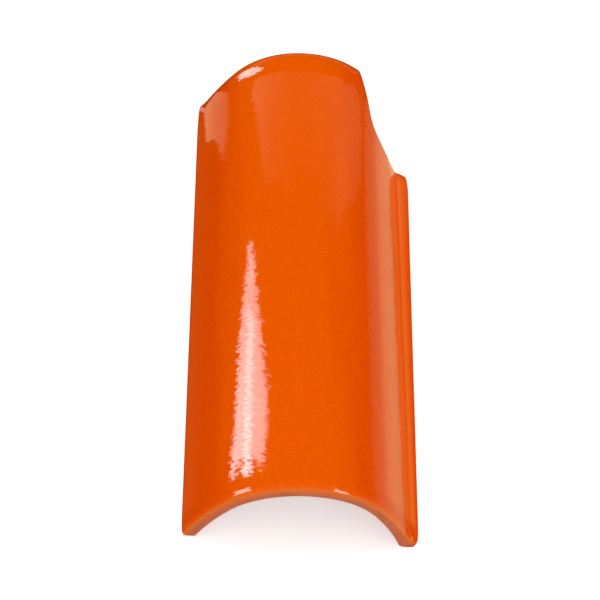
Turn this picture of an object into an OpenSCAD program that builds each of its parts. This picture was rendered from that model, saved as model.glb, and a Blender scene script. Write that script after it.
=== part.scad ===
// Interlocking barrel roof tile of fired clay, one moulded piece.
// A long arched shell of even thickness, a narrow flange turned out along its right
// side, a notch cut out of the head corner above the flange, and a rounded head edge.
// The length runs along Y with the foot end at -Y and the head end at +Y. Z is up.
// The tile lies as it rests on a level floor, on its free edge and on its flange.

/* [Tile] */

// Length from the foot end to the head end
tile_length = 450; // [300:5:600]
// Thickness of the fired clay
thickness = 11; // [8:0.5:14]

/* [Arch] */

// Outer radius of the crown
crown_radius = 80; // [65:1:100]
// Outer radius of the two flatter flanks
flank_radius = 240; // [180:5:400]
// Angle from the middle of the crown to the start of each flank
crown_angle = 56; // [50:0.5:60]
// Angle from the middle of the crown to the free edge
free_edge_angle = 72; // [69:0.5:76]
// Rounding of the two corners of the free edge
edge_rounding = 1; // [0.5:0.5:3]

/* [Flange] */

// Angle from the middle of the crown to the root of the flange
root_angle = 70; // [66:0.5:71]
// Radius of the hollow between the flank and the flange
root_radius = 7; // [4:0.5:12]
// Level width of the flange beyond the hollow, at the middle of the tile's length
flange_width = 5.5; // [5.5:0.5:16]
// Angle by which the tip of the flange spreads towards the head end
flange_taper = 0.75; // [0:0.05:1]
// Rounding under the tip of the flange
tip_rounding = 4; // [2:0.5:6]
// Rounding of the inner corner of the flange foot
foot_rounding = 4.5; // [1:0.5:6]
// Rounding of the flange corner beside the notch, seen from above
flange_corner = 9; // [3:0.5:10]

/* [Notch] */

// Length of the notch from the head end
notch_length = 70; // [50:1:100]
// Width of the notch at the head end, from the tip of the flange at mid-length
notch_width = 50.5; // [40:0.5:60]
// Angle by which the side of the notch closes towards the flange
notch_draft = 10; // [0:1:12]
// Radius of the inner corner of the notch
notch_radius = 25; // [10:1:28]
// Rounding of the corner between the head end and the notch
notch_corner = 5; // [2:0.5:10]

/* [Head end] */

// Rounding of the outer edge of the head end
head_rounding = 8; // [3:0.5:9]
// Rounding of the head corner at the free edge, seen from the side
head_corner = 6; // [4:0.5:16]

/* [Hidden] */

clay_color = "#D8540F";
tip_arris = 1.5;
// Roundings reach this far past a face, so that every two faces truly cross
ease = 0.01;
// Clay left beyond the foot end and under the floor line before these are trimmed
spare = 1;

// The arch is laid out upright around the middle of its crown, as pairs of side and height.
flank_shift = flank_radius - crown_radius;
flank_middle = flank_shift * [sin(crown_angle), -cos(crown_angle)];
free_toe = flank_middle + flank_radius * [-sin(free_edge_angle), cos(free_edge_angle)];
root_middle = [-flank_middle.x, flank_middle.y]
    + (flank_radius + root_radius - ease) * [sin(root_angle), cos(root_angle)];

// It then leans until the free toe and the underside of the flange share one floor line.
root_rise = root_radius + thickness;
span = root_middle - free_toe;
lean = asin(root_rise / norm(span)) - atan2(span.y, span.x);

crown = rest(-free_toe);
left = rest(flank_middle - free_toe);
right = rest([-flank_middle.x, flank_middle.y] - free_toe);
root = rest(span);
root_start = root - root_radius * dir(root_angle - lean);
tip_x = root.x + flange_width;

// Middles of the small roundings of the free edge and of the flange foot
toe_out = [
    left.x - reach(flank_radius - edge_rounding, left.y - edge_rounding),
    edge_rounding
];
toe_in = [
    left.x - reach(flank_radius - thickness + edge_rounding, left.y - edge_rounding),
    edge_rounding
];
foot_in = [
    right.x + reach(flank_radius - thickness + foot_rounding, right.y - foot_rounding),
    foot_rounding
];

head_y = tile_length / 2;
beyond = 2 * tile_length;

// Middle of the rounding of the flange corner, seen from above
corner_y = head_y - notch_length - flange_corner;
corner_x = tip_x + corner_y * tan(flange_taper) - flange_corner / cos(flange_taper);
middle_x = (toe_out.x - edge_rounding + corner_x + flange_corner) / 2;

function dir(angle) = [sin(angle), cos(angle)];
function heading(v) = atan2(v.x, v.y);
function rest(v) = [v.x * cos(lean) - v.y * sin(lean), v.x * sin(lean) + v.y * cos(lean)];
function reach(radius, drop) = sqrt(pow(radius, 2) - pow(drop, 2));

// Waste outside a rounding whose faces point to the two given angles
module waste(radius, from, to) {
    far = 3 * radius;
    difference() {
        polygon([[0, 0], far * dir(from), far * dir((from + to) / 2), far * dir(to)]);
        circle(r = radius + ease, $fn = 96);
    }
}

// Lengthwise profile of the shell, side by side with its axis, with the head edge rounded
module band_profile(radius) {
    difference() {
        translate([radius - thickness, -spare]) square([thickness, tile_length + spare]);
        translate([radius - head_rounding, tile_length - head_rounding])
            difference() {
                square(2 * head_rounding);
                circle(r = head_rounding, $fn = 96);
            }
    }
}

// Left half of the upright arch, turned from the line where the flank joins the crown
module half_arch() {
    intersection() {
        translate([0, -head_y, 0])
            rotate([-90, 0, 0])
                rotate([0, 0, -90 - crown_angle]) {
                    rotate_extrude(angle = crown_angle + 10, $fn = 360)
                        band_profile(crown_radius);
                    translate([-flank_shift, 0, 0])
                        rotate_extrude(angle = crown_angle - 96, $fn = 720)
                            band_profile(flank_radius);
                }
        translate([-beyond, -beyond, -beyond]) cube([beyond, 2 * beyond, 2 * beyond]);
    }
}

// A flat outline in the plane of the cross section, drawn out along the whole tile
module along_tile() {
    translate([0, beyond / 2, 0]) rotate([90, 0, 0]) linear_extrude(beyond) children();
}

// The same along the tip of the flange, which spreads towards the head end
module along_tip() {
    translate([tip_x, 0, 0]) rotate([0, 0, -flange_taper]) along_tile() children();
}

// The flange up to its tip, and the clay under the hollow of its root
module flange() {
    inside = thickness / 4;
    length = tile_length + spare;
    widest = root_radius + flange_width + root_rise;
    difference() {
        translate([root.x, head_y, 0]) rotate([90, 0, 0]) linear_extrude(length) difference() {
            translate([root_start.x - root.x - inside, -spare])
                square([widest, root_start.y + spare]);
            translate([0, root_rise]) circle(r = root_radius, $fn = 96);
            translate([0, thickness]) square(2 * widest);
        }
        along_tip() translate([0, -root_rise]) square(2 * widest);
        along_tip() translate([-tip_arris, thickness - tip_arris]) waste(tip_arris, 0, 90);
    }
}

// Everything taken away by the notch, seen from above with the origin at the tip of the head end
module notch() {
    inner = [
        (notch_length - notch_radius) * tan(notch_draft) + notch_radius / cos(notch_draft)
            - notch_width,
        notch_radius - notch_length
    ];
    meet = inner - notch_radius * [cos(notch_draft), sin(notch_draft)];
    corner = [
        notch_corner * (tan(notch_draft) - 1 / cos(notch_draft)) - notch_width,
        -notch_corner
    ];
    translate([tip_x, head_y, -spare]) {
        linear_extrude(beyond) polygon([
            [-notch_width - 10 * tan(notch_draft), 10],
            meet,
            inner,
            [inner.x, -notch_length],
            [20, -notch_length],
            [20, 10]
        ]);
        translate(inner) cylinder(r = notch_radius + ease, h = beyond, $fn = 180);
        translate(corner)
            linear_extrude(beyond) waste(notch_corner, 0, 90 - notch_draft);
    }
    translate([corner_x, corner_y, -spare])
        linear_extrude(beyond) waste(flange_corner, 0, 90 + flange_taper);
}

module roof_tile() {
    color(clay_color) translate([-middle_x, 0, 0]) difference() {
        union() {
            translate([crown.x, 0, crown.y]) rotate([0, -lean, 0]) {
                half_arch();
                mirror([1, 0, 0]) half_arch();
            }
            flange();
        }
        translate([-beyond, -beyond, -beyond]) cube([2 * beyond, 2 * beyond, beyond]);
        translate([-beyond, -beyond - head_y, -beyond]) cube([2 * beyond, beyond, 2 * beyond]);
        along_tile() translate(toe_out) waste(edge_rounding, -180, heading(toe_out - left));
        along_tile() translate(toe_in) waste(edge_rounding, heading(left - toe_in), 180);
        along_tile() translate(foot_in) waste(foot_rounding, -180, heading(right - foot_in));
        along_tip() translate([-tip_rounding, tip_rounding]) waste(tip_rounding, 90, 180);
        notch();
        translate([-beyond, head_y - head_corner, head_corner])
            rotate([90, 0, 90])
                linear_extrude(beyond + crown.x)
                    waste(head_corner, 90, 180);
    }
}

roof_tile();
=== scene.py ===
"""The glazed clay barrel roof tile, dressed and lit as a product picture.

The tile is shaped the way a tile maker shapes it: a flat slab is laid out, the notch is
cut from its corner, the slab gets its thickness and its rounded edges, and it is bent
over the three arcs of the cross section. Lengths are in metres and angles in degrees.
"""

import logging
import math
from collections.abc import Iterable
from dataclasses import dataclass, field
from enum import Enum

import bmesh
import bpy
from bmesh.types import BMesh, BMVert
from bpy.types import Material, Node, NodeSocket, NodeTree, Object
from mathutils import Matrix, Vector, noise


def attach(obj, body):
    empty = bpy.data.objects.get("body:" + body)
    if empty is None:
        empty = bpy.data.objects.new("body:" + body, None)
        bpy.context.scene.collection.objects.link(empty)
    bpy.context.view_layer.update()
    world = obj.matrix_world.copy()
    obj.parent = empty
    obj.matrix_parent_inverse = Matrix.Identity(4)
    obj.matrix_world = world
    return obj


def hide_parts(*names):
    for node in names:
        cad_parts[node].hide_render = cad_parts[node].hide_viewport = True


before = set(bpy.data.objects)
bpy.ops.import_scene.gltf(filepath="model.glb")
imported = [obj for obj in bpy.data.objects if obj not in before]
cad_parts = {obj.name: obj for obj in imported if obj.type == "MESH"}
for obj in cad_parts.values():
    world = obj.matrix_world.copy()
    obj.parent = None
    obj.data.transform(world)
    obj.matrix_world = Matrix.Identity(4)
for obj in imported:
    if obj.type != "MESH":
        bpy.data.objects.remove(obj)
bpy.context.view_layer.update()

LOG = logging.getLogger("roof_tile")
MM = 0.001

# The height above the floor at which the cards aim, in millimetres
TILE_MIDDLE = 60

# A spot of a card: its place sideways and upwards in millimetres, and its radiance
Spot = tuple[float, float, float]


def linear(hex_colour: str) -> tuple[float, float, float, float]:
    """Turns an sRGB hex colour into the linear colour that a shader takes.

    Args:
        hex_colour: Six hex digits after a hash, such as "#E65400".

    Returns:
        Linear red, green and blue, and an alpha of 1.
    """
    channels = [int(hex_colour[i:i + 2], 16) / 255 for i in (1, 3, 5)]
    curve = [c / 12.92 if c <= 0.04045 else ((c + 0.055) / 1.055) ** 2.4 for c in channels]
    return (*curve, 1.0)


def add_node(
    tree: NodeTree, kind: str, inputs: dict | None = None, **settings: object
) -> Node:
    """Adds a node, makes its settings, and fills or links its inputs.

    Args:
        tree: The node tree that takes the node.
        kind: Blender's name for the kind of node, after "ShaderNode".
        inputs: A value or another node's output socket for each input's name or number.
        **settings: The node's own properties.

    Returns:
        The new node.
    """
    node = tree.nodes.new("ShaderNode" + kind)
    for name, value in settings.items():
        setattr(node, name, value)
    for name, value in (inputs or {}).items():
        if isinstance(value, NodeSocket):
            tree.links.new(value, node.inputs[name])
        else:
            node.inputs[name].default_value = value
    return node


def empty_material(name: str) -> tuple[Material, NodeTree]:
    """Makes a node material with nothing in it.

    Args:
        name: The material's name.

    Returns:
        The material and its node tree.
    """
    material = bpy.data.materials.new(name)
    material.use_nodes = True
    material.node_tree.nodes.clear()
    return material, material.node_tree


def mesh_object(name: str, bm: BMesh, materials: Iterable[Material]) -> Object:
    """Makes a scene object of a bmesh and frees it.

    Args:
        name: The object's name.
        bm: The finished bmesh.
        materials: The materials, in the order of the faces' material numbers.

    Returns:
        The new object, at the origin.
    """
    mesh = bpy.data.meshes.new(name)
    bm.to_mesh(mesh)
    bm.free()
    for material in materials:
        mesh.materials.append(material)
    piece = bpy.data.objects.new(name, mesh)
    bpy.context.scene.collection.objects.link(piece)
    return piece


def heading(angle: float) -> Vector:
    """Gives the direction in the cross section at an angle from straight up towards +X."""
    return Vector((math.sin(math.radians(angle)), math.cos(math.radians(angle))))


def direction(azimuth: float, elevation: float) -> Vector:
    """Gives a direction in space.

    Args:
        azimuth: The azimuth, from +Y towards +X.
        elevation: The elevation above the floor.

    Returns:
        The unit vector.
    """
    side, rise = math.radians(azimuth), math.radians(elevation)
    flat = math.cos(rise)
    return Vector((math.sin(side) * flat, math.cos(side) * flat, math.sin(rise)))


@dataclass
class Section:
    """The cross section: a crown arc, two flatter flank arcs, a hollow and the flange."""

    thickness: float = 11 * MM
    crown_radius: float = 80 * MM
    flank_radius: float = 240 * MM
    crown_angle: float = 56
    free_edge_angle: float = 72
    root_angle: float = 70
    root_radius: float = 7 * MM
    flange_width: float = 5.5 * MM
    flange_taper: float = 0.75
    flange_corner: float = 9 * MM
    notch_length: float = 70 * MM
    toe_rounding: float = 1 * MM
    head: float = 225 * MM
    lean: float = field(init=False)
    crown: Vector = field(init=False)
    left: Vector = field(init=False)
    right: Vector = field(init=False)
    root: Vector = field(init=False)
    tip: float = field(init=False)
    corner: Vector = field(init=False)

    def __post_init__(self) -> None:
        """Works out the lean at which both feet lie on the floor, and the arcs' middles."""
        flank = (self.flank_radius - self.crown_radius) * heading(180 - self.crown_angle)
        mirrored = Vector((-flank.x, flank.y))
        toe = flank + self.flank_radius * heading(-self.free_edge_angle)
        root = mirrored + (self.flank_radius + self.root_radius) * heading(self.root_angle)
        rise = self.root_radius + self.thickness
        span = root - toe
        tilt = math.asin(rise / span.length) - math.atan2(span.y, span.x)
        self.lean = math.degrees(tilt)
        turn = Matrix.Rotation(tilt, 2)
        self.crown, self.left, self.right, self.root = (
            turn @ (middle - toe) for middle in (Vector((0, 0)), flank, mirrored, root)
        )
        rounding = self.toe_rounding
        reach = math.sqrt((self.flank_radius - rounding) ** 2 - (self.left.y - rounding) ** 2)
        slope, across = math.radians(self.flange_taper), self.flange_corner
        y = self.head - self.notch_length - across
        spread = y * math.tan(slope) - across / math.cos(slope)
        corner = self.root.x + self.flange_width + spread
        centre = (self.left.x - reach - rounding + corner + across) / 2
        for middle in (self.crown, self.left, self.right, self.root):
            middle.x -= centre
        self.tip = self.root.x + self.flange_width
        self.corner = Vector((corner - centre, y))

    def seam(self, inset: float) -> float:
        """Gives the length along the surface from the crown's middle to a flank's start."""
        return (self.crown_radius - inset) * math.radians(self.crown_angle)

    def along(self, angle: float, inset: float = 0.0) -> float:
        """Turns a design angle from the crown's middle into a length along a surface.

        Args:
            angle: The angle before the lean, positive towards the flange.
            inset: How far the surface lies under the outer one.

        Returns:
            The length along that surface, negative towards the free edge.
        """
        beyond = max(abs(angle) - self.crown_angle, 0)
        near = min(abs(angle), self.crown_angle)
        length = (self.crown_radius - inset) * math.radians(near)
        length += (self.flank_radius - inset) * math.radians(beyond)
        return math.copysign(length, angle)

    def arch(self, length: float, inset: float) -> tuple[Vector, Vector]:
        """Gives the point and outward direction at a length along an arch surface.

        Args:
            length: The length from the crown's middle, positive towards the flange.
            inset: How far the surface lies under the outer one.

        Returns:
            The point and the outward unit vector in the cross section.
        """
        seam = self.seam(inset)
        if abs(length) <= seam:
            angle = math.degrees(length / (self.crown_radius - inset))
            middle, radius = self.crown, self.crown_radius - inset
        else:
            radius = self.flank_radius - inset
            turned = self.crown_angle + math.degrees((abs(length) - seam) / radius)
            angle = math.copysign(turned, length)
            middle = self.left if length < 0 else self.right
        out = heading(angle - self.lean)
        return middle + radius * out, out

    @property
    def root_start(self) -> float:
        """The length along the outer surface at which the hollow starts."""
        return self.along(self.root_angle)

    @property
    def root_end(self) -> float:
        """The length along the outer surface at which the flange is level."""
        return self.root_start + self.root_radius * math.radians(self.root_angle - self.lean)

    def flange_length(self, x: float, inner: bool) -> float:
        """Turns an X on the level flange into a length along a surface.

        Args:
            x: The X.
            inner: Whether it is the inner surface.

        Returns:
            The length from the crown's middle.
        """
        if not inner:
            return self.root_end + x - self.root.x
        corner = self.floor_length(1, self.thickness)
        return corner + x - self.arch(corner, self.thickness)[0].x

    def floor_length(self, side: int, inset: float) -> float:
        """Gives the length along a surface at which it meets the floor.

        Args:
            side: -1 for the free edge and 1 for the flange.
            inset: How far the surface lies under the outer one.

        Returns:
            The length from the crown's middle, with the side's sign.
        """
        middle = self.left if side < 0 else self.right
        angle = side * math.degrees(math.acos(-middle.y / (self.flank_radius - inset)))
        return self.along(angle + self.lean, inset)

    def outer(self, length: float) -> tuple[Vector, Vector]:
        """Follows the outer surface over the arch, the hollow and the flange.

        Args:
            length: The length from the crown's middle.

        Returns:
            The point and the outward unit vector in the cross section.
        """
        if length <= self.root_start:
            return self.arch(length, 0)
        if length < self.root_end:
            turned = math.degrees((length - self.root_start) / self.root_radius)
            out = heading(self.root_angle - self.lean - turned)
            return self.root - self.root_radius * out, out
        return Vector((self.root.x + length - self.root_end, self.thickness)), heading(0)

    def inner(self, length: float) -> tuple[Vector, Vector]:
        """Follows the inner surface under the arch and along the flat foot.

        Args:
            length: The length from the crown's middle.

        Returns:
            The point and the outward unit vector in the cross section.
        """
        corner = self.floor_length(1, self.thickness)
        if length <= corner:
            return self.arch(length, self.thickness)
        edge = self.arch(corner, self.thickness)[0]
        return Vector((edge.x + length - corner, 0)), heading(0)

    def length_at(self, x: float, inner: bool) -> float:
        """Finds the length along a surface of the right half at which it reaches an X.

        Args:
            x: The X to find.
            inner: Whether it is the inner surface.

        Returns:
            The length from the crown's middle.
        """
        surface = self.inner if inner else self.outer
        low, high = 0.0, self.flange_length(self.tip, inner) + 10 * MM
        for _ in range(40):
            middle = (low + high) / 2
            if surface(middle)[0].x < x:
                low = middle
            else:
                high = middle
        return (low + high) / 2


@dataclass
class Notch:
    """The notch beside the head end, seen from above, and the flange corner next to it."""

    section: Section
    width: float = 50.5 * MM
    draft: float = 10
    radius: float = 25 * MM

    @property
    def middle(self) -> Vector:
        """The middle of the inner corner's arc."""
        slope, form = math.radians(self.draft), self.section
        up = form.notch_length - self.radius
        shift = up * math.tan(slope) + self.radius / math.cos(slope)
        return Vector((form.tip - self.width + shift, form.head - up))

    @property
    def corner(self) -> Vector:
        """The point halfway round the inner corner's arc."""
        return self.middle + self.radius * heading(-90 - (90 + self.draft) / 2 + self.draft)

    def side_x(self, y: float) -> float:
        """Follows the notch's side.

        Args:
            y: The Y, between the inner corner and the head.

        Returns:
            The X of the side there.
        """
        slope = math.radians(self.draft)
        middle = self.middle
        meet = middle - self.radius * Vector((math.cos(slope), math.sin(slope)))
        if y >= meet.y:
            return meet.x - (y - meet.y) * math.tan(slope)
        return middle.x - math.sqrt(max(self.radius**2 - (middle.y - y) ** 2, 0))

    def end_y(self, x: float) -> float:
        """Follows the notch's end and the rounded corner of the flange.

        Args:
            x: The X, between the inner corner and the tip.

        Returns:
            The Y of the end there.
        """
        middle = self.middle
        if x < middle.x:
            return middle.y - math.sqrt(max(self.radius**2 - (middle.x - x) ** 2, 0))
        corner, radius = self.section.corner, self.section.flange_corner
        past = max(x - corner.x, 0)
        return corner.y + math.sqrt(max(radius**2 - past**2, 0))


class Face(Enum):
    """The two surfaces of the slab."""

    OUTER = 0
    INNER = 1


@dataclass(frozen=True)
class GlazedEarthenware:
    """Glossy coloured glaze, poured on a pressed clay tile and fired.

    It gives a deep, even orange under a hard gloss, thinner and lighter on the crown from
    which it ran, and worn pale along the foot's arris. The deeper flank colour is partly
    thicker glaze and partly painted shade on the flanks and on the right side, and the pale
    glaze is also painted light along the free edge and on the flange, with a painted
    highlight along the flange's hollow. Its skin isn't flat: drag marks run across the tile
    and tear the edges of every reflection into fine teeth.
    """

    # Painted shade: the flank colour is darker than the crown's, partly from thicker glaze and
    # partly as painted shade.
    crown: str = "#EE5A00"
    flank: str = "#E64D00"
    thin_and_painted_light: str = "#FF7022"
    # The glaze ran in long streaks, which sway the border between the two colours.
    run_width: float = 22 * MM
    run_length: float = 160 * MM
    run_sway: float = 44 * MM
    # The border lies over this range of height, and lower on the left by this slope, which
    # paints shade on the right side.
    border_low: float = 88 * MM
    border_high: float = 122 * MM
    painted_shade_slope: float = -0.25
    # Real flecks are about 0.3 mm wide. They are drawn coarser, as wide as shows here.
    fleck: float = 1.5 * MM
    fleck_share: float = 3.0
    # Real drag marks are about 0.4 mm wide and are drawn coarser too. They swing along the
    # tile as the hand with the brush did.
    drag_across: float = 6.5 * MM
    drag_along: float = 1.1 * MM
    drag_lean: float = 0.28
    drag_lean_along: float = 0.06
    swing: float = 13 * MM
    swing_length: float = 112 * MM
    swing_middle: float = 62 * MM
    peel: float = 6 * MM
    peel_height: float = 0.02 * MM
    roughness: float = 0.04
    ior: float = 1.5

    def colour(self, tree: NodeTree, place: NodeSocket) -> NodeSocket:
        """Mixes the two tones between which the glaze ran, with painted shade, the flecks, and
        the worn places with painted light.

        Args:
            tree: The material's node tree.
            place: The place on the tile.

        Returns:
            The socket with the colour.
        """
        long = add_node(tree, "Mapping", {
            "Vector": place, "Scale": (self.run_width, self.run_length, self.run_width),
        }, vector_type="TEXTURE")
        cloud = add_node(tree, "TexNoise", {
            "Vector": long.outputs["Vector"], "Scale": 1.0, "Detail": 3.0, "Roughness": 0.6,
        })
        reach = add_node(tree, "SeparateXYZ", {"Vector": place})
        # Painted shade: the slope darkens the colour on the right side.
        height = add_node(tree, "Math", {
            0: reach.outputs["X"], 1: self.painted_shade_slope, 2: reach.outputs["Z"],
        }, operation="MULTIPLY_ADD")
        run = add_node(tree, "Math", {
            0: cloud.outputs["Fac"], 1: self.run_sway, 2: height.outputs[0],
        }, operation="MULTIPLY_ADD")
        tone = add_node(tree, "MapRange", {
            "Value": run.outputs[0], "From Min": self.border_low, "From Max": self.border_high,
            "To Min": -self.fleck_share / 2, "To Max": 1 - self.fleck_share / 2,
        }, interpolation_type="SMOOTHSTEP")
        fleck = add_node(tree, "TexNoise", {
            "Vector": place, "Scale": 1 / self.fleck, "Detail": 2.0,
        })
        flecked = add_node(tree, "Math", {
            0: fleck.outputs["Fac"], 1: self.fleck_share, 2: tone.outputs["Result"],
        }, operation="MULTIPLY_ADD")
        even = add_node(tree, "Mix", {
            "Factor": flecked.outputs[0], "A": linear(self.flank), "B": linear(self.crown),
        }, data_type="RGBA", clamp_factor=False)
        # The pale colour is glaze worn thin at the foot and on edges, and painted light along
        # the free edge and on the flange.
        wear_and_painted_light = add_node(tree, "Attribute", attribute_name="wear_and_painted_light")
        worn = add_node(tree, "Mix", {
            "Factor": wear_and_painted_light.outputs["Fac"], "A": even.outputs["Result"],
            "B": linear(self.thin_and_painted_light),
        }, data_type="RGBA")
        return worn.outputs["Result"]

    def skin(self, tree: NodeTree, place: NodeSocket) -> NodeSocket:
        """Lays drag marks, which swing along the tile, over a faint orange peel.

        Args:
            tree: The material's node tree.
            place: The place on the tile.

        Returns:
            The socket with the direction in which the skin faces.
        """
        reach = add_node(tree, "SeparateXYZ", {"Vector": place})
        turn = add_node(tree, "Math", {
            0: reach.outputs["X"], 1: math.tau / self.swing_length,
            2: math.tau * (self.swing_middle / self.swing_length + 0.25),
        }, operation="MULTIPLY_ADD")
        sway = add_node(tree, "Math", {0: turn.outputs[0]}, operation="SINE")
        row = add_node(tree, "Math", {
            0: sway.outputs[0], 1: -self.swing, 2: reach.outputs["Y"],
        }, operation="MULTIPLY_ADD")
        dragged = add_node(tree, "CombineXYZ", {
            "X": reach.outputs["X"], "Y": row.outputs[0], "Z": reach.outputs["Z"],
        })
        stretch = add_node(tree, "Mapping", {
            "Vector": dragged.outputs["Vector"],
            "Scale": (self.drag_across, self.drag_along, self.drag_across),
        }, vector_type="TEXTURE")
        ripple = add_node(tree, "TexNoise", {
            "Vector": stretch.outputs["Vector"], "Scale": 1.0, "Detail": 2.0, "Roughness": 0.5,
        })
        peel = add_node(tree, "TexNoise", {
            "Vector": place, "Scale": 1 / self.peel, "Detail": 2.0,
        })
        bump = add_node(tree, "Bump", {
            "Height": peel.outputs["Fac"], "Strength": 1.0, "Distance": self.peel_height,
        })
        lean = add_node(tree, "VectorMath", {
            0: ripple.outputs["Color"], 1: (0.5, 0.5, 0.5),
        }, operation="SUBTRACT")
        leans = (self.drag_lean, self.drag_lean_along * self.drag_lean, self.drag_lean)
        drag = add_node(tree, "VectorMath", {
            0: lean.outputs["Vector"], 1: leans, 2: bump.outputs["Normal"],
        }, operation="MULTIPLY_ADD")
        way = add_node(tree, "VectorMath", {0: drag.outputs["Vector"]}, operation="NORMALIZE")
        return way.outputs["Vector"]

    def material(self) -> Material:
        """Makes the glaze.

        Returns:
            The material, which reads the wear and painted light that the slab stores.
        """
        # The eye sees a wet, hard gloss on a strong orange that is never quite even.
        material, tree = empty_material("glazed_earthenware")
        place = add_node(tree, "TexCoord").outputs["Object"]
        shader = add_node(tree, "BsdfPrincipled", {
            "Base Color": self.colour(tree, place), "Normal": self.skin(tree, place),
            "Roughness": self.roughness, "IOR": self.ior,
        })
        add_node(tree, "OutputMaterial", {"Surface": shader.outputs["BSDF"]})
        return material


@dataclass(frozen=True)
class FiredClay:
    """Bare fired clay, as the saw or wire left it at the foot and under the tile.

    It gives a dull pinkish terracotta with fine grit and paler and darker clouds. A rim of
    glaze runs a little way over the arris onto it.
    """

    body: str = "#DA6C3A"
    dark: str = "#C65E30"
    pale: str = "#DE9268"
    cloud: float = 14 * MM
    # Real grit is about 0.3 mm wide and is drawn coarser, as wide as shows here.
    grit: float = 0.9 * MM
    grit_height: float = 0.08 * MM
    grit_share: float = 0.3
    roughness: float = 0.75
    rim_colour: str = "#E66E26"
    rim: float = 1.7 * MM
    rim_fade: float = 2 * MM
    rim_sway: float = 3 * MM
    rim_roughness: float = 0.15

    def material(self) -> Material:
        """Makes the clay.

        Returns:
            The material, which reads the depth that the slab stores.
        """
        # The eye sees a dry, dull and slightly gritty cut face with a wet rim above it.
        material, tree = empty_material("fired_clay")
        place = add_node(tree, "TexCoord").outputs["Object"]
        cloud = add_node(tree, "TexNoise", {
            "Vector": place, "Scale": 1 / self.cloud, "Detail": 4.0, "Roughness": 0.6,
        })
        grit = add_node(tree, "TexNoise", {
            "Vector": place, "Scale": 1 / self.grit, "Detail": 2.0,
        })
        # Noise lies mostly between 0.3 and 0.7, so its highest peaks are the pale grit.
        tone = add_node(tree, "MapRange", {
            "Value": cloud.outputs["Fac"], "From Min": 0.3, "From Max": 0.7,
        })
        shade = add_node(tree, "Mix", {
            "Factor": tone.outputs["Result"], "A": linear(self.dark), "B": linear(self.body),
        }, data_type="RGBA")
        speck = add_node(tree, "MapRange", {
            "Value": grit.outputs["Fac"], "From Min": 0.55, "From Max": 0.75,
            "To Max": self.grit_share,
        })
        body = add_node(tree, "Mix", {
            "Factor": speck.outputs["Result"], "A": shade.outputs["Result"],
            "B": linear(self.pale),
        }, data_type="RGBA")
        depth = add_node(tree, "Attribute", attribute_name="depth")
        ragged = add_node(tree, "Math", {
            0: cloud.outputs["Fac"], 1: -self.rim_sway, 2: depth.outputs["Fac"],
        }, operation="MULTIPLY_ADD")
        rim_end = self.rim - self.rim_sway / 2
        bare = add_node(tree, "MapRange", {
            "Value": ragged.outputs[0], "From Min": rim_end,
            "From Max": rim_end + self.rim_fade,
        })
        colour = add_node(tree, "Mix", {
            "Factor": bare.outputs["Result"], "A": linear(self.rim_colour),
            "B": body.outputs["Result"],
        }, data_type="RGBA")
        gloss = add_node(tree, "MapRange", {
            "Value": bare.outputs["Result"], "To Min": self.rim_roughness,
            "To Max": self.roughness,
        })
        bump = add_node(tree, "Bump", {
            "Height": grit.outputs["Fac"], "Strength": bare.outputs["Result"],
            "Distance": self.grit_height,
        })
        shader = add_node(tree, "BsdfPrincipled", {
            "Base Color": colour.outputs["Result"], "Roughness": gloss.outputs["Result"],
            "Normal": bump.outputs["Normal"],
        })
        add_node(tree, "OutputMaterial", {"Surface": shader.outputs["BSDF"]})
        return material


@dataclass(frozen=True)
class Column:
    """A line of the slab's grid that runs from the foot to the head."""

    outer: float
    inner: float


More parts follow.
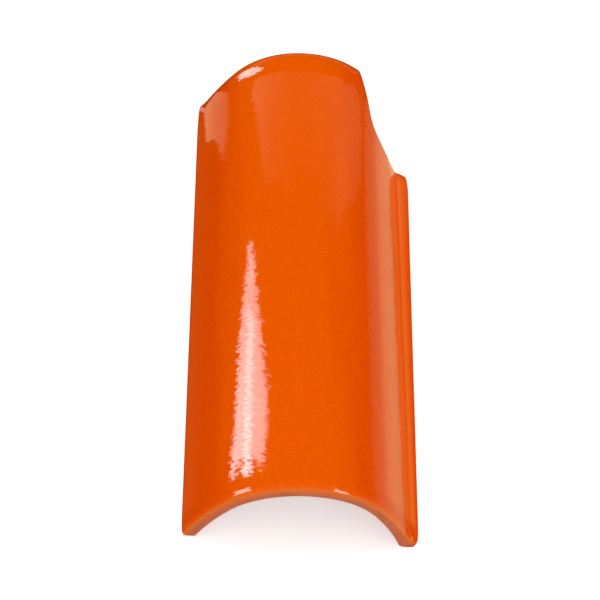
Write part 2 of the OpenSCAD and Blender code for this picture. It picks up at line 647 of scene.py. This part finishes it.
@dataclass
class Slab:
    """The clay slab: a grid of columns and rows with thickness, bent over the section."""

    section: Section
    crown_steps: int = 14
    flank_steps: int = 4
    body_rows: int = 19
    wall_steps: int = 6
    # Extra rows and columns lie this far from an edge and keep it crisp.
    toe_column: float = 4.5 * MM
    free_edge_columns: tuple[float, float] = (11 * MM, 10.5 * MM)
    foot_count: int = 5
    foot_columns: float = 5.5 * MM
    tip_column: float = 2.6 * MM
    row_gap: float = 1 * MM
    notch_row_gap: float = 27 * MM
    rising_rows: int = 5
    notch_side_gap: float = 8 * MM
    # The gentle fall of the surface to the head and foot ends, and the roundings.
    head_fall: float = 27 * MM
    head_rounding: float = 8.2 * MM
    head_corner: float = 3 * MM
    # The head's rounding gets slim at the free edge: its shares there, and the way to full.
    head_slims: tuple[float, float] = (0.15, 0.3)
    head_slim_width: float = 60 * MM
    head_slim_fall: float = 1.4
    head_notch_corner: float = 5 * MM
    head_notch_fall: float = 14 * MM
    head_notch_rounding: float = 6 * MM
    foot_fall: float = 16 * MM
    foot_rounding: float = 2.2 * MM
    toe_rounding: float = 1 * MM
    tip_rounding: float = 4 * MM
    tip_arris: float = 1.5 * MM
    notch_rounding: float = 2 * MM
    under_rounding: float = 1.2 * MM
    flange_corner_angle: float = 66
    # A rim is its shares of the fall and of the rounding, from the surface to the edge.
    edge_rim: tuple[tuple[float, float], ...] = ((1, 0), (0.5, 0.134), (0.134, 0.5), (0, 1))
    head_rim: tuple[tuple[float, float], ...] = ((1, 0), (0.3, 0.12), (0.03, 0.7), (0, 1))
    # The surface waves a little, but not beside the floor, in a slow swell and a finer one.
    wave_height: float = 0.10 * MM
    wave_length: float = 60 * MM
    wave_start: float = 3 * MM
    fine_wave: float = 0.4
    fine_wave_rate: float = 2.7
    # It stays this far inside the part's box. The toe is the zone beside the floor.
    crown_margin: float = 0.2 * MM
    flank_margin: float = 0.07 * MM
    toe_margin: float = 0.11 * MM
    toe_zone: tuple[float, float] = (0.2 * MM, 1 * MM)
    # The angle between two columns of a flank
    flank_arc: float = 3.4
    # How much paler the glaze is: on each column of the flange, worn thin at the foot and on
    # other edges, and along the free edge.
    # Painted light on the flank columns past the notch, and a painted highlight along the
    # hollow.
    flange_painted_light: tuple[float, ...] = (0.4, 0.45, 0.5, 0.55, 0.0, 1.0, 0.7, 0.3, 0.0)
    foot_thin: tuple[float, ...] = (0.0, 0.0, 0.35, 0.9)
    edge_thin: tuple[float, ...] = (0.0, 0.0, 0.1, 0.2)
    # Painted light on the columns along the free edge.
    free_edge_painted_light: tuple[float, ...] = (0.45, 0.34, 0.23, 0.12, 0.01)
    # The shares of the wall that the glaze covers at the foot end and at the free edge.
    foot_coat: float = 0.3
    free_edge_coat: float = 0.5
    notch: Notch = field(init=False)
    columns: list[Column] = field(init=False)
    rows: list[float] = field(init=False)
    crown_column: int = field(init=False)
    notch_column: int = field(init=False)
    notch_row: int = field(init=False)

    def __post_init__(self) -> None:
        """Lays out the columns across the slab and the rows along it."""
        self.notch = Notch(self.section)
        self.columns = self.lay_columns()
        self.rows = self.lay_rows()

    @property
    def tip_number(self) -> int:
        """The number of the last column, at the tip of the flange."""
        return len(self.columns) - 1

    @property
    def head_number(self) -> int:
        """The number of the last row, at the head end."""
        return len(self.rows) - 1

    def lay_columns(self) -> list[Column]:
        """Lays out the columns across the slab.

        Returns:
            The columns, from the free edge to the tip of the flange.
        """
        form, thick = self.section, self.section.thickness
        toe, under_toe = form.floor_length(-1, 0), form.floor_length(-1, thick)
        columns = [
            Column(toe, under_toe),
            Column(toe + self.toe_column, under_toe + self.toe_column),
            Column(toe + self.free_edge_columns[0], under_toe + self.free_edge_columns[1]),
        ]
        first = form.crown_angle + math.degrees((-columns[-1].outer - form.seam(0))
                                                / form.flank_radius)
        flank = [form.crown_angle + (first - form.crown_angle) * step / self.flank_steps
                 for step in range(self.flank_steps - 1, 0, -1)]
        crown = [form.crown_angle * (2 * step / self.crown_steps - 1)
                 for step in range(self.crown_steps + 1)]
        for angle in [-a for a in flank] + crown:
            columns.append(Column(form.along(angle), form.along(angle, thick)))
        self.crown_column = len(columns) - 1 - self.crown_steps // 2
        self.notch_column = len(columns)
        corner = form.length_at(self.notch.corner.x, False)
        past = form.crown_angle + math.degrees((corner - form.seam(0)) / form.flank_radius)
        for step in range(3):
            angle = past + (form.root_angle - past) * step / 3
            columns.append(Column(form.along(angle), form.along(angle, thick)))
        floor = form.floor_length(1, thick)
        hollow = form.root_end - form.root_start
        columns += [
            Column(form.root_start, form.along(form.root_angle, thick)),
            Column(form.root_start + hollow / 3, floor - self.foot_columns),
            Column(form.root_start + hollow * 2 / 3, floor),
            Column(form.root_end, floor + self.foot_columns),
            Column(form.flange_length(form.tip - self.tip_column, False),
                   form.flange_length(form.tip - self.foot_columns, True)),
            Column(form.flange_length(form.tip, False), form.flange_length(form.tip, True)),
        ]
        return columns

    def lay_rows(self) -> list[float]:
        """Lays out the rows along the slab.

        Returns:
            The Y of each row, from the foot end to the head end.
        """
        head, end = self.section.head, self.section.head - self.section.notch_length
        start = -head + self.foot_fall + self.row_gap
        stop = end - self.notch_row_gap
        rows = [-head]
        rows += [start + (stop - start) * step / self.body_rows
                 for step in range(self.body_rows + 1)]
        rows.append(self.section.corner.y)
        self.notch_row = len(rows)
        rows.append(end)
        past = self.notch.corner.y + self.notch_side_gap
        last = head - self.head_fall - self.row_gap
        rows += [past + (last - past) * step / 3 for step in range(4)]
        rows.append(head)
        return rows

    def plan(self, column: int, row: int, face: Face) -> Vector:
        """Gives where a crossing of the grid lies on the flat slab.

        Args:
            column: The number of the column.
            row: The number of the row.
            face: The surface that it is on.

        Returns:
            The length along that surface from the crown's middle, and the Y.
        """
        form, notch = self.section, self.notch
        inner = face is Face.INNER
        line = self.columns[column]
        length, y = (line.inner if inner else line.outer), self.rows[row]
        end, notch_y = self.tip_number, self.rows[self.notch_row]
        # The right half's columns close in on the notch, and its rows rise to the notch.
        share = column_share = 0.0
        if column > self.crown_column:
            span = self.columns[self.notch_column].outer
            share = min(line.outer / span, 1.0)
            column_share = 1 - max(column - self.notch_column, 0) / (end - self.notch_column)
        calm = self.rows[self.notch_row - self.rising_rows]
        fall = min(max((y - calm) / (notch_y - calm), 0), 1)
        if row >= self.notch_row:
            if row == self.notch_row:
                y += share * (notch.corner.y - y)
            if share > 0 and column <= self.notch_column:
                side = notch.side_x(max(y, notch.corner.y))
                whole = form.length_at(side, inner)
                length = share * whole
        elif share > 0 and inner and column <= self.notch_column:
            whole = form.length_at(notch.corner.x, True)
            length += fall * (share * whole - length)
        if column >= end - 1:
            length += self.rows[row] * math.tan(math.radians(form.flange_taper))
        if column > self.notch_column:
            if inner and column < end - self.foot_count:
                upright = form.length_at(form.outer(line.outer)[0].x, True)
                length += fall * column_share**2 * (upright - length)
            x = (form.inner if inner else form.outer)(length)[0].x
            y = self.rows[row] + fall * (notch.end_y(x) - notch_y)
        elif row < self.notch_row:
            y += fall * share * (notch.corner.y - notch_y)
        return self.ease_corner(column, row, face, Vector((length, y)))

    def ease_corner(self, column: int, row: int, face: Face, flat: Vector) -> Vector:
        """Moves the crossings next to a rounded corner of the outline onto its arc.

        Args:
            column: The number of the column.
            row: The number of the row.
            face: The surface that it is on.
            flat: Where the crossing lies before.

        Returns:
            Where the crossing lies on the flat slab.
        """
        inner = face is Face.INNER
        if (column, row) == (0, self.head_number):
            toe = self.columns[0].inner if inner else self.columns[0].outer
            cut = self.head_corner * (1 - math.sqrt(0.5))
            return Vector((toe + cut, self.section.head - cut))
        if (column, row) == (self.notch_column, self.head_number):
            cut = self.head_notch_corner * (1 - math.sqrt(0.5))
            return flat - Vector((cut, cut))
        if (column, row) == (self.tip_number, self.notch_row):
            form = self.section
            place = form.corner + form.flange_corner * heading(self.flange_corner_angle)
            return Vector((form.flange_length(place.x, inner), place.y))
        return flat

    def roundings(self, column: int, row: int) -> tuple[float, float, float]:
        """Gives the edge's roundings at a crossing of the outline.

        Args:
            column: The number of the column.
            row: The number of the row.

        Returns:
            How far the outer rounding reaches over the surface and down the edge, and the
            radius of the inner one.
        """
        under, end = self.under_rounding, self.tip_number
        if row == 0:
            fall = self.foot_rounding if column in (0, end) else self.foot_fall
            return fall, self.foot_rounding, under
        if row == self.head_number:
            if column == self.notch_column:
                return self.head_notch_fall, self.head_notch_rounding, under
            past = self.columns[column].outer - self.columns[0].outer
            ease = min(past / self.head_slim_width, 1)
            slim = self.head_slims[column] if column < 2 else (1 + ease) / 2
            fall = self.head_fall * min(self.head_slim_fall * slim, 1)
            return fall, self.head_rounding * slim, under
        if column == 0:
            return self.toe_rounding, self.toe_rounding, self.toe_rounding
        if column == end and row < self.notch_row:
            return self.tip_arris, self.tip_arris, self.tip_rounding
        return self.notch_rounding, self.notch_rounding, under

    def outward(self, bm: BMesh) -> dict[tuple[int, int], Vector]:
        """Finds which way is out of the slab at each crossing of its outline.

        Args:
            bm: The flat grid, with each vertex at its column and row numbers.

        Returns:
            The direction in the flat slab for each column and row on the outline.
        """
        ways = {}
        for vert in bm.verts:
            if not vert.is_boundary:
                continue
            key = (round(vert.co.x), round(vert.co.y))
            here = self.plan(*key, Face.OUTER)
            sides = [edge.other_vert(vert) for edge in vert.link_edges if edge.is_boundary]
            near = [(self.plan(round(v.co.x), round(v.co.y), Face.OUTER) - here).normalized()
                    for v in sides]
            along = near[1] - near[0]
            way = Vector((along.y, -along.x)).normalized()
            faces = [face.calc_center_median() for face in vert.link_faces]
            middle = sum(faces, Vector()) / len(faces) - vert.co
            # At the notch's inner corner the slab lies on three sides.
            if len(faces) == 3:
                middle = Vector((-1, -1, 0))
            if way.dot(middle.xy) > 0:
                way = -way
            if key[1] == 0 and key[0] in (0, self.tip_number):
                way = Vector((math.copysign(1, way.x), -1))
            ways[key] = way
        return ways

    def surface(self, flat: Vector, face: Face) -> Vector:
        """Bends a point of the flat slab over the section.

        Args:
            flat: The length along the surface and the Y.
            face: The surface that it is on.

        Returns:
            The place in the part's frame.
        """
        form = self.section
        point, out = (form.inner if face is Face.INNER else form.outer)(flat.x)
        # The subdivision draws an arc inwards, so its points are laid out that much more.
        crown_arc = math.radians(2 * form.crown_angle / self.crown_steps)
        flank_arc = math.radians(self.flank_arc)
        swell = 0.0
        if abs(flat.x) < form.seam(0):
            swell = form.crown_radius * (1 - math.cos(crown_arc)) / 3 - self.crown_margin
        elif flat.x < form.root_start:
            swell = form.flank_radius * (1 - math.cos(flank_arc)) / 3 - self.flank_margin
        low, high = self.toe_zone
        if point.y < high:
            swell = -self.toe_margin if flat.x < 0 and point.y > low else 0.0
        # Each swell comes from its own level of the noise.
        slow = Vector((flat.x, flat.y, 0.37)) / self.wave_length
        fine = Vector((flat.x, flat.y, 4.1)) / self.wave_length * self.fine_wave_rate
        wave = noise.noise(slow) + self.fine_wave * noise.noise(fine)
        if face is Face.OUTER and point.y > self.wave_start:
            swell += self.wave_height * (wave - 1.0)
        moved = point + swell * out
        return Vector((moved.x, flat.y, moved.y))

    def bend(self, index: Vector, ways: dict[tuple[int, int], Vector]) -> Vector:
        """Gives the place of a vertex of the thick slab.

        Args:
            index: The vertex's column and row numbers, and its share of the depth below zero.
            ways: The outward directions along the outline.

        Returns:
            The place in the part's frame.
        """
        key = (round(index.x), round(index.y))
        step = round(-index.z * self.wall_steps)
        if key not in ways:
            face = Face.OUTER if step == 0 else Face.INNER
            return self.surface(self.plan(*key, face), face)
        way = ways[key]
        over, deep, under = self.roundings(*key)
        rim = self.head_rim if key[1] == self.head_number else self.edge_rim
        top, low = self.plan(*key, Face.OUTER), self.plan(*key, Face.INNER)
        edge_top, edge_low = self.surface(top, Face.OUTER), self.surface(low, Face.INNER)
        down = (edge_low - edge_top).normalized()
        if step < len(rim):
            back, sunk = rim[step]
            start = self.surface(top - over * way, Face.OUTER)
            return edge_top + (start - edge_top) * back + down * deep * sunk
        # The inner rounding is a quarter turn in two steps.
        turned = math.radians(45 * (self.wall_steps - step))
        start = self.surface(low - under * way, Face.INNER)
        return (edge_low + (start - edge_low) * (1 - math.sin(turned))
                - down * under * (1 - math.cos(turned)))

    def depth_wear_and_painted_light(
        self, index: Vector, ways: dict[tuple[int, int], Vector]
    ) -> tuple[float, float]:
        """Gives how deep a vertex of the thick slab lies, and how pale its glaze is, from wear
        and painted light.

        Args:
            index: The vertex's column and row numbers, and its share of the depth below zero.
            ways: The outward directions along the outline.

        Returns:
            The depth under the outer surface, and the wear and painted light from 0 to 1.
        """
        key = (round(index.x), round(index.y))
        step = round(-index.z * self.wall_steps)
        if key not in ways:
            # Painted light along the free edge and on the flange, with a painted highlight along
            # the flange's hollow.
            thin_and_painted_light = dict(enumerate(self.free_edge_painted_light))
            thin_and_painted_light |= dict(enumerate(self.flange_painted_light, self.notch_column))
            depth = self.section.thickness * step / self.wall_steps
            return depth, thin_and_painted_light.get(key[0], 0.0)
        _, deep, under = self.roundings(*key)
        head = key[1] == self.head_number
        rim = self.head_rim if head else self.edge_rim
        worn = self.foot_thin if key[1] == 0 else self.edge_thin
        wear_and_painted_light = 0.0 if head else worn[min(step, len(worn) - 1)]
        if step < len(rim):
            return deep * rim[step][1], wear_and_painted_light
        short = under * (1 - math.cos(math.radians(45 * (self.wall_steps - step))))
        return self.section.thickness - short, wear_and_painted_light

    def build(self, glaze: Material, clay: Material) -> Object:
        """Builds the tile.

        Args:
            glaze: The finish of the outer surface and most edges.
            clay: The finish of the foot end and the underside.

        Returns:
            The tile's object.
        """
        across, long = self.tip_number, self.head_number
        bm = bmesh.new()
        spread = Matrix.Translation((across / 2, long / 2, 0)) @ Matrix.Diagonal(
            (across / 2, long / 2, 1, 1))
        bmesh.ops.create_grid(bm, x_segments=across, y_segments=long, size=1, matrix=spread)
        waste = [face for face in bm.faces if face.calc_center_median().x > self.notch_column
                 and face.calc_center_median().y > self.notch_row]
        bmesh.ops.delete(bm, geom=waste, context="FACES")
        ways = self.outward(bm)
        made = bmesh.ops.extrude_face_region(bm, geom=bm.faces[:], use_keep_orig=True)
        lower = [item for item in made["geom"] if isinstance(item, BMVert)]
        bmesh.ops.translate(bm, vec=(0, 0, -1), verts=lower)
        posts = [edge for edge in bm.edges if abs(edge.verts[0].co.z - edge.verts[1].co.z) > 0.5]
        bmesh.ops.subdivide_edges(bm, edges=posts, cuts=self.wall_steps - 1, use_grid_fill=True)
        for face in bm.faces:
            face.smooth = True
            middle = face.calc_center_median()
            foot = all(vert.co.y < 0.5 for vert in face.verts)
            free_edge = all(vert.co.x < 0.5 for vert in face.verts)
            # The glaze covers part of the wall at both, and all of the wall elsewhere.
            coat = self.foot_coat if foot else self.free_edge_coat if free_edge else 0.99
            face.material_index = int(middle.z < -coat)
        # The slab stores the depth, and the wear together with the painted light.
        depth, wear_and_painted_light = (bm.verts.layers.float.new(name) for name in ("depth", "wear_and_painted_light"))
        for vert in bm.verts:
            vert[depth], vert[wear_and_painted_light] = self.depth_wear_and_painted_light(vert.co, ways)
            vert.co = self.bend(vert.co, ways)
        bmesh.ops.recalc_face_normals(bm, faces=bm.faces[:])
        tile = mesh_object("tile_body", bm, (glaze, clay))
        smooth = tile.modifiers.new("rounded_clay", "SUBSURF")
        smooth.levels = smooth.render_levels = 2
        return tile


@dataclass
class RoofTile:
    """The whole part: the bent slab in its two finishes."""

    section: Section = field(default_factory=Section)
    glaze: GlazedEarthenware = GlazedEarthenware()
    clay: FiredClay = FiredClay()

    def build(self) -> Object:
        """Builds the tile, ties it to the part's body, and hides the part's imported node.

        Returns:
            The tile's object.
        """
        tile = Slab(self.section).build(self.glaze.material(), self.clay.material())
        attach(tile, "root")
        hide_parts("roof_tile")
        return tile


class Surround(Enum):
    """What the glaze mirrors in the studio, by the name of its stuff and its sRGB colour."""

    LIGHT = ("softbox", "#FFFFFF")
    BOARD = ("cream_board", "#FFFAC3")
    BLACK = ("black_velvet", "#060606")


def upright(azimuth: float, elevation: float, distance: float) -> Matrix:
    """Gives the plane of a card that hangs upright and faces the tile.

    Args:
        azimuth: The azimuth in which it hangs, from +Y towards +X.
        elevation: The elevation of its middle.
        distance: How far it hangs from the tile, in millimetres.

    Returns:
        The matrix that takes a place sideways and upwards, in millimetres, to the part's frame.
    """
    out = direction(azimuth, elevation)
    turn = math.radians(azimuth)
    across = Vector((math.cos(turn), -math.sin(turn), 0))
    axes = Matrix((across, across.cross(out), out)).transposed().to_4x4()
    middle = (out * distance + Vector((0, 0, TILE_MIDDLE))) * MM
    return Matrix.Translation(middle) @ axes @ Matrix.Scale(MM, 4)


def table_top() -> Matrix:
    """Gives the plane of a card that lies on the velvet, which lies on the floor."""
    return Matrix.Translation((0, 0, 0.6 * MM)) @ Matrix.Scale(MM, 4)


@dataclass(frozen=True)
class Card:
    """A softbox or board that the glaze mirrors and that stays out of the picture.

    It is laid out in its plane as rows of a left and a right spot.
    """

    name: str
    surround: Surround
    plane: Matrix
    rows: tuple[tuple[Spot, Spot], ...]

    def build(self) -> Object:
        """Builds the card from its rows, with its radiance stored at each spot.

        Returns:
            The card's object.
        """
        bm = bmesh.new()
        glow = bm.verts.layers.float.new("radiance")
        strips = []
        for row in self.rows:
            pair = []
            for side, rise, radiance in row:
                vert = bm.verts.new(self.plane @ Vector((side, rise, 0)))
                vert[glow] = radiance
                pair.append(vert)
            strips.append(pair)
        for low, high in zip(strips, strips[1:]):
            bmesh.ops.contextual_create(bm, geom=[*low, high[1], high[0]])
        stuff, colour = self.surround.value
        # Lit cloth or a painted board gives the eye a plain bright shape in the glaze.
        material, tree = empty_material(f"{self.name}_{stuff}")
        stored = add_node(tree, "Attribute", attribute_name="radiance")
        light = add_node(tree, "Emission", {
            "Color": linear(colour), "Strength": stored.outputs["Fac"],
        })
        add_node(tree, "OutputMaterial", {"Surface": light.outputs["Emission"]})
        return show_to_glaze(mesh_object(self.name, bm, (material,)))


def cards() -> tuple[Card, ...]:
    """Lists the softboxes round the tile, and the boards that its flanks mirror.

    Their corners were found along mirror rays from the reflections in the photograph,
    rounded, and then moved, and their radiances were matched.

    Returns:
        The cards, each of a few corners.
    """
    return (
        Card("key", Surround.LIGHT, upright(-57, 18, 1300), (
            ((45, -20, 8), (50, 5, 8)),
            ((-75, -195, 5.8), (1, 184, 5.8)),
            ((-147, -263, 6.4), (-8, 385, 6)),
            ((-251, -348, 7.7), (-44, 557, 6.6)),
            ((-304, -397, 8.6), (-85, 581, 7.2)),
            ((-368, -471, 8.6), (-186, 504, 7)),
            ((-412, -465, 8.6), (-212, 449, 7)),
        )),
        Card("key_core", Surround.LIGHT, upright(-57, 18, 1290), (
            ((-360, -90, 9.5), (-60, -60, 8.5)),
            ((-360, 10, 16.5), (-60, 30, 11.5)),
            ((-330, 80, 16.5), (-60, 70, 11.5)),
            ((-310, 170, 9), (-60, 140, 8.5)),
        )),
        Card("back_left", Surround.LIGHT, upright(0, 0, 1300), (
            ((-1140, -60, 7), (-860, -60, 7)),
            ((-1149, 235, 7), (-845, 235, 7)),
            ((-930, 567, 7), (-825, 359, 7)),
        )),
        Card("low_back", Surround.BOARD, upright(0, 0, 1310), (
            ((-760, -60, 0.45), (1000, -60, 0.35)),
            ((-760, 120, 0.35), (1000, 120, 0.25)),
            ((-760, 260, 0.0), (1000, 260, 0.0)),
        )),
        Card("high_back", Surround.BOARD, upright(0, 0, 1290), (
            ((-1340, 440, 1.2), (-700, 1080, 0.0)),
            ((-1350, 640, 0.9), (-700, 1180, 0.5)),
            ((-1350, 840, 0.7), (-100, 1330, 0.2)),
            ((-1330, 1000, 0.5), (-100, 1700, 0.0)),
            ((-1300, 1150, 0.35), (-400, 1800, 0.0)),
        )),
        Card("high_back_right", Surround.BOARD, upright(0, 0, 1280), (
            ((-100, 1330, 0.2), (-100, 1750, 0.0)),
            ((530, 1240, 0.35), (640, 1720, 0.0)),
            ((1190, 680, 0.5), (1350, 1280, 0.35)),
            ((1400, 100, 0.3), (1680, 600, 0.3)),
            ((1440, -20, 0.25), (1680, 140, 0.25)),
        )),
        Card("front_left", Surround.LIGHT, upright(-86, 16, 1300), (
            ((-80, -220, 8), (80, -220, 8)), ((-80, 220, 8), (80, 220, 8)),
        )),
        Card("front_right", Surround.LIGHT, upright(102, 47, 1300), (
            ((-40, -230, 8), (210, -230, 8)), ((-210, 200, 8), (90, 230, 8)),
        )),
        Card("right_table", Surround.BOARD, table_top(), (
            ((99, -400, 0.3), (99, 130, 0.3)),
            ((125, -400, 0.66), (125, 130, 0.62)),
            ((160, -400, 0.58), (160, 130, 0.5)),
            ((300, -400, 0.38), (300, 130, 0.36)),
            ((700, -400, 0.25), (700, 130, 0.25)),
            ((1600, -400, 0.0), (1600, 130, 0.0)),
        )),
        Card("notch_table", Surround.BOARD, table_top(), (
            ((96, 130, 0.5), (90, 240, 3.6)),
            ((125, 130, 0.62), (125, 240, 0.7)),
            ((160, 130, 0.5), (160, 285, 0.45)),
            ((300, 130, 0.36), (300, 400, 0.36)),
            ((700, 130, 0.25), (700, 700, 0.3)),
            ((1600, 130, 0.0), (1600, 900, 0.0)),
        )),
        Card("lit_table", Surround.LIGHT, table_top(), (
            ((-385, 515, 5), (-245, 445, 4)), ((-1140, 1290, 6), (-860, 1290, 6)),
        )),
        Card("corner_table", Surround.LIGHT, table_top(), (
            ((-108, 223, 0.8), (-102, 223, 0.8)), ((-108, 229, 0.8), (-102, 229, 0.8)),
        )),
        Card("edge_table", Surround.BOARD, table_top(), (
            ((-118, -225, 0.03), (-104, -225, 0.03)), ((-118, 60, 0.0), (-104, 60, 0.0)),
        )),
        Card("left_table", Surround.BOARD, table_top(), (
            ((-126, 198, 0.8), (-116, 190, 0.9)),
            ((-137, 208, 0.7), (-108, 232, 0.8)),
            ((-156, 212, 0.7), (-112, 262, 0.7)),
            ((-180, 206, 0.6), (-145, 285, 0.6)),
            ((-201, 252, 0.5), (-180, 305, 0.5)),
            ((-211, 285, 0.4), (-206, 318, 0.4)),
        )),
    )


def show_to_glaze(piece: Object) -> Object:
    """Makes a piece of the studio one that only reflections see.

    Args:
        piece: The card or flags.

    Returns:
        The same object.
    """
    piece.visible_camera = piece.visible_diffuse = piece.visible_shadow = False
    piece.visible_transmission = piece.visible_volume_scatter = False
    return piece


@dataclass(frozen=True)
class Overhead:
    """The large soft light over the tile, which gives the diffuse light and the shadow."""

    energy: float = 3.4
    size: float = 1.6
    place: tuple[float, float, float] = (-0.25, -0.3, 1.6)
    lean_across: float = -9
    lean_along: float = -10

    def build(self) -> Object:
        """Hangs the lamp, unseen by the glaze.

        Returns:
            The lamp's object.
        """
        lamp = bpy.data.lights.new("overhead", "AREA")
        lamp.shape, lamp.size, lamp.size_y = "RECTANGLE", self.size, self.size
        lamp.energy = self.energy
        hung = bpy.data.objects.new("overhead", lamp)
        bpy.context.scene.collection.objects.link(hung)
        across = Matrix.Rotation(math.radians(self.lean_across), 4, "Y")
        along = Matrix.Rotation(math.radians(self.lean_along), 4, "X")
        hung.matrix_world = Matrix.Translation(self.place) @ across @ along
        hung.visible_glossy = False
        return hung


@dataclass(frozen=True)
class PhotoCamera:
    """The camera at the photograph's viewing angle."""

    lens: float = 96.45
    sensor: float = 36
    place: tuple[float, float, float] = (-149.94 * MM, -760.87 * MM, 1226.86 * MM)
    roll: float = -6.887
    tilt: float = 32.018
    turn: float = -0.118

    def build(self) -> Object:
        """Places the camera and makes it the scene's own.

        Returns:
            The camera's object.
        """
        lens = bpy.data.cameras.new("camera")
        lens.lens, lens.sensor_width = self.lens, self.sensor
        camera = bpy.data.objects.new("camera", lens)
        bpy.context.scene.collection.objects.link(camera)
        look = Matrix.Rotation(math.radians(self.tilt), 4, "X")
        look @= Matrix.Rotation(math.radians(self.turn), 4, "Z")
        roll = Matrix.Rotation(math.radians(self.roll), 4, "Y")
        camera.matrix_world = Matrix.Translation(self.place) @ roll @ look
        bpy.context.scene.camera = camera
        return camera


@dataclass
class Studio:
    """A pale floor, a bright world behind it, black flags, softboxes, lamp and camera."""

    floor_half: float = 4.0
    floor_colour: str = "#F4F4F4"
    floor_glow: float = 0.45
    fill: float = 0.912
    flag_half: float = 2.4
    overhead: Overhead = Overhead()
    camera: PhotoCamera = PhotoCamera()

    def behind_object(self, tree: NodeTree) -> NodeSocket:
        """Tells a ray that shows what lies behind the tile from one that lights it.

        Args:
            tree: The node tree of the floor's material or of the world.

        Returns:
            A socket that is 1 for a camera, glossy or transmission ray, and else 0.
        """
        seen = add_node(tree, "LightPath")
        glossy = add_node(tree, "Math", {
            0: seen.outputs["Is Camera Ray"], 1: seen.outputs["Is Glossy Ray"],
        }, operation="MAXIMUM")
        both = add_node(tree, "Math", {
            0: glossy.outputs[0], 1: seen.outputs["Is Transmission Ray"],
        }, operation="MAXIMUM")
        return both.outputs[0]

    def build_floor(self) -> Object:
        """Lays the pale floor.

        Returns:
            The floor's object.
        """
        bm = bmesh.new()
        bmesh.ops.create_grid(bm, x_segments=1, y_segments=1, size=self.floor_half)
        # Matt white paper gives the eye an even white that keeps the tile's soft shadow.
        material, tree = empty_material("white_paper")
        paper = add_node(tree, "BsdfDiffuse", {"Color": linear(self.floor_colour)})
        glow = add_node(tree, "Emission", {"Strength": self.floor_glow})
        both = add_node(tree, "AddShader", {0: paper.outputs[0], 1: glow.outputs[0]})
        mixed = add_node(tree, "MixShader", {
            0: self.behind_object(tree), 1: paper.outputs[0], 2: both.outputs[0],
        })
        add_node(tree, "OutputMaterial", {"Surface": mixed.outputs[0]})
        floor = mesh_object("floor", bm, (material,))
        return floor

    def build_world(self) -> None:
        """Makes the world: white where it is seen, and a soft fill light elsewhere."""
        world = bpy.data.worlds.new("studio")
        bpy.context.scene.world = world
        world.use_nodes = True
        tree = world.node_tree
        tree.nodes.clear()
        strength = add_node(tree, "MapRange", {
            "Value": self.behind_object(tree), "To Min": self.fill, "To Max": 1.0,
        })
        sky = add_node(tree, "Background", {
            "Color": linear("#FFFFFF"), "Strength": strength.outputs["Result"],
        })
        add_node(tree, "OutputWorld", {"Surface": sky.outputs[0]})

    def build_flags(self) -> Object:
        """Hangs black velvet all round, so that the glaze mirrors a dark room.

        Only reflections see the flags. They close off the floor and the world, so the glaze
        mirrors neither, although both are also made to be white in a reflection.

        Returns:
            The flags' object.
        """
        bm = bmesh.new()
        half = self.flag_half
        bmesh.ops.create_cube(bm, size=2, matrix=Matrix.Translation((0, 0, half + 0.3 * MM))
                              @ Matrix.Diagonal((half, half, half, 1)))
        stuff, colour = Surround.BLACK.value
        # Black velvet sends next to no light back, so the glaze stays deep in colour.
        material, tree = empty_material(stuff)
        velvet = add_node(tree, "BsdfDiffuse", {"Color": linear(colour)})
        add_node(tree, "OutputMaterial", {"Surface": velvet.outputs[0]})
        return show_to_glaze(mesh_object("black_flags", bm, (material,)))

    def build(self) -> list[Object]:
        """Builds the whole studio.

        Returns:
            Its objects, in the order in which they were built.
        """
        floor = self.build_floor()
        self.build_world()
        pieces = [floor, self.build_flags()]
        pieces += [card.build() for card in cards()]
        pieces += [self.overhead.build(), self.camera.build()]
        bpy.context.scene.view_settings.view_transform = "Standard"
        return pieces


def report(piece: Object) -> None:
    """Logs a finished piece with its kind and, for a mesh, its faces before smoothing."""
    faces = len(piece.data.polygons) if piece.type == "MESH" else 0
    LOG.info("%s: %s, %d faces", piece.name, piece.type.lower(), faces)


def main() -> None:
    """Builds the tile and the studio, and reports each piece."""
    report(RoofTile().build())
    for piece in Studio().build():
        report(piece)


if __name__ == "__main__":
    logging.basicConfig(level=logging.INFO, format="%(name)s: %(message)s")
    main()
